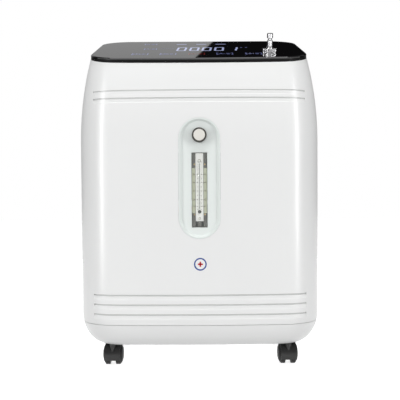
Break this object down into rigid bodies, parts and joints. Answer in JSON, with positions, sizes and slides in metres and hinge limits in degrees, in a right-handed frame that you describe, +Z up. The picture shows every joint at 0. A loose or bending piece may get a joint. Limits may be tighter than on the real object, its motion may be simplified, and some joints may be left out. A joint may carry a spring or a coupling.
{
  "type": "oxygen concentrator",
  "caption": "Stationary oxygen concentrator: a rounded white cabinet on casters, with a sloping glass touch panel, an oxygen outlet and a recessed flowmeter with its knob.",
  "frame": {"origin": "on the floor, under the centre of the cabinet's footprint", "axes": "+Z up, -Y out of the front face with the flowmeter, +X to the right seen from the front"},
  "size_m": [0.411, 0.2838, 0.5992],
  "materials": {
    "white_plastic": "gloss",
    "black_carrier": "gloss",
    "black_glass": "gloss",
    "white_satin": "satin",
    "steel": "zinc plated",
    "rubber": "matte",
    "bezel": "satin",
    "acrylic": "clear",
    "black_float": "gloss",
    "knob_black": "satin",
    "knob_cap": "gloss",
    "brass": "machined",
    "chrome": "polished",
    "foam": "open-cell foam",
    "black_plastic": "satin",
    "rocker": "gloss",
    "red_button": "gloss",
    "caster_hood": "satin",
    "caster_wheel": "satin",
    "sheet_steel": "galvanised",
    "cast_aluminium": "cast",
    "aluminium": "drawn",
    "copper": "drawn copper",
    "circuit": "solder mask",
    "display_light": "backlit",
    "silicone": "silicone",
    "sound_box": "moulded foam board",
    "white_blades": "moulded",
    "rod": "machined"
  },
  "bodies": {
    "cabinet": {"base_tub": "white_plastic", "front_cover": "white_plastic", "rear_cover": "white_plastic", "top_bezel": "black_carrier", "touch_glass": "black_glass", "handle_cups": "white_satin", "case_screws": "steel", "wall_bumpers": "rubber", "flow_bezel": "bezel", "flowmeter_block": "acrylic", "flow_valve_body": "brass", "outlet_nozzle": "chrome", "outlet_nut": "chrome", "filter_foam": "foam", "mains_inlet": "black_plastic", "switch_frame": "black_plastic", "breaker_body": "black_plastic", "caster_stems": "steel", "chassis_plate": "sheet_steel", "inner_frame": "sheet_steel", "sound_box": "sound_box", "compressor_body": "cast_aluminium", "compressor_heads": "cast_aluminium", "compressor_mounts": "rubber", "cooling_fan_frame": "black_plastic", "cooling_coil": "copper", "sieve_towers": "aluminium", "tower_caps": "cast_aluminium", "valve_manifold": "aluminium", "solenoid_valves": "black_plastic", "oxygen_tank": "aluminium", "control_board": "circuit", "power_supply": "sheet_steel", "display_board": "circuit", "display_digits": "display_light", "oxygen_hoses": "silicone"},
    "knob": {"flow_knob": "knob_black", "flow_knob_cap": "knob_cap", "flow_needle": "brass"},
    "float": {"flow_float": "black_float"},
    "filter_door": {"filter_door": "white_plastic"},
    "rocker": {"switch_rocker": "rocker"},
    "breaker_button": {"breaker_button": "red_button"},
    "crankshaft": {"compressor_crankshaft": "steel"},
    "piston_left": {"compressor_piston_left": "rod"},
    "piston_right": {"compressor_piston_right": "rod"},
    "fan_rotor": {"cooling_fan_rotor": "white_blades"},
    "caster_front_left": {"caster_front_left_hood": "caster_hood"},
    "caster_front_left_wheel_a": {"caster_front_left_wheel_a": "caster_wheel"},
    "caster_front_left_wheel_b": {"caster_front_left_wheel_b": "caster_wheel"},
    "caster_front_right": {"caster_front_right_hood": "caster_hood"},
    "caster_front_right_wheel_a": {"caster_front_right_wheel_a": "caster_wheel"},
    "caster_front_right_wheel_b": {"caster_front_right_wheel_b": "caster_wheel"},
    "caster_rear_left": {"caster_rear_left_hood": "caster_hood"},
    "caster_rear_left_wheel_a": {"caster_rear_left_wheel_a": "caster_wheel"},
    "caster_rear_left_wheel_b": {"caster_rear_left_wheel_b": "caster_wheel"},
    "caster_rear_right": {"caster_rear_right_hood": "caster_hood"},
    "caster_rear_right_wheel_a": {"caster_rear_right_wheel_a": "caster_wheel"},
    "caster_rear_right_wheel_b": {"caster_rear_right_wheel_b": "caster_wheel"}
  },
  "joints": [
    {"name": "caster_front_left_swivel", "type": "hinge", "parent": "cabinet", "child": "caster_front_left", "pos_m": [-0.151, -0.078, 0.04], "axis": [0, 0, 1], "continuous": true},
    {"name": "caster_front_left_roll_a", "type": "hinge", "parent": "caster_front_left", "child": "caster_front_left_wheel_a", "pos_m": [-0.151, -0.067, 0.0185], "axis": [1, 0, 0], "continuous": true},
    {"name": "caster_front_left_roll_b", "type": "hinge", "parent": "caster_front_left", "child": "caster_front_left_wheel_b", "pos_m": [-0.151, -0.067, 0.0185], "axis": [1, 0, 0], "continuous": true},
    {"name": "caster_front_right_swivel", "type": "hinge", "parent": "cabinet", "child": "caster_front_right", "pos_m": [0.151, -0.078, 0.04], "axis": [0, 0, 1], "continuous": true},
    {"name": "caster_front_right_roll_a", "type": "hinge", "parent": "caster_front_right", "child": "caster_front_right_wheel_a", "pos_m": [0.151, -0.067, 0.0185], "axis": [1, 0, 0], "continuous": true},
    {"name": "caster_front_right_roll_b", "type": "hinge", "parent": "caster_front_right", "child": "caster_front_right_wheel_b", "pos_m": [0.151, -0.067, 0.0185], "axis": [1, 0, 0], "continuous": true},
    {"name": "caster_rear_left_swivel", "type": "hinge", "parent": "cabinet", "child": "caster_rear_left", "pos_m": [-0.151, 0.078, 0.04], "axis": [0, 0, 1], "continuous": true},
    {"name": "caster_rear_left_roll_a", "type": "hinge", "parent": "caster_rear_left", "child": "caster_rear_left_wheel_a", "pos_m": [-0.151, 0.089, 0.0185], "axis": [1, 0, 0], "continuous": true},
    {"name": "caster_rear_left_roll_b", "type": "hinge", "parent": "caster_rear_left", "child": "caster_rear_left_wheel_b", "pos_m": [-0.151, 0.089, 0.0185], "axis": [1, 0, 0], "continuous": true},
    {"name": "caster_rear_right_swivel", "type": "hinge", "parent": "cabinet", "child": "caster_rear_right", "pos_m": [0.151, 0.078, 0.04], "axis": [0, 0, 1], "continuous": true},
    {"name": "caster_rear_right_roll_a", "type": "hinge", "parent": "caster_rear_right", "child": "caster_rear_right_wheel_a", "pos_m": [0.151, 0.089, 0.0185], "axis": [1, 0, 0], "continuous": true},
    {"name": "caster_rear_right_roll_b", "type": "hinge", "parent": "caster_rear_right", "child": "caster_rear_right_wheel_b", "pos_m": [0.151, 0.089, 0.0185], "axis": [1, 0, 0], "continuous": true},
    {"name": "flow_knob_turn", "type": "hinge", "parent": "cabinet", "child": "knob", "pos_m": [0, -0.135, 0.391], "axis": [0, 1, 0], "range_deg": [0, 1000]},
    {"name": "flow_float_rise", "type": "slide", "parent": "cabinet", "child": "float", "axis": [0, 0, 1], "range_m": [0, 0.075]},
    {"name": "filter_door_hinge", "type": "hinge", "parent": "cabinet", "child": "filter_door", "pos_m": [0, 0.13325, 0.2722], "axis": [-1, 0, 0], "range_deg": [0, 90]},
    {"name": "switch_rock", "type": "hinge", "parent": "cabinet", "child": "rocker", "pos_m": [0.12, 0.131, 0.164], "axis": [1, 0, 0], "range_deg": [-18, 0]},
    {"name": "breaker_press", "type": "slide", "parent": "cabinet", "child": "breaker_button", "axis": [0, -1, 0], "range_m": [0, 0.002], "stiffness_N_per_m": 400},
    {"name": "crankshaft_spin", "type": "hinge", "parent": "cabinet", "child": "crankshaft", "pos_m": [-0.05, 0, 0.132], "axis": [1, 0, 0], "continuous": true},
    {"name": "cooling_fan_spin", "type": "hinge", "parent": "cabinet", "child": "fan_rotor", "pos_m": [-0.05, 0, 0.25], "axis": [0, 0, 1], "continuous": true},
    {"name": "piston_left_follow", "type": "hinge", "parent": "crankshaft", "child": "piston_left", "pos_m": [-0.116, 0, 0.136], "axis": [1, 0, 0], "continuous": true},
    {"name": "piston_right_follow", "type": "hinge", "parent": "crankshaft", "child": "piston_right", "pos_m": [0.016, 0, 0.128], "axis": [1, 0, 0], "continuous": true}
  ],
  "couplings": [
    {"joint": "piston_left_follow", "follows": "crankshaft_spin", "ratio": -1},
    {"joint": "piston_right_follow", "follows": "crankshaft_spin", "ratio": -1}
  ]
}
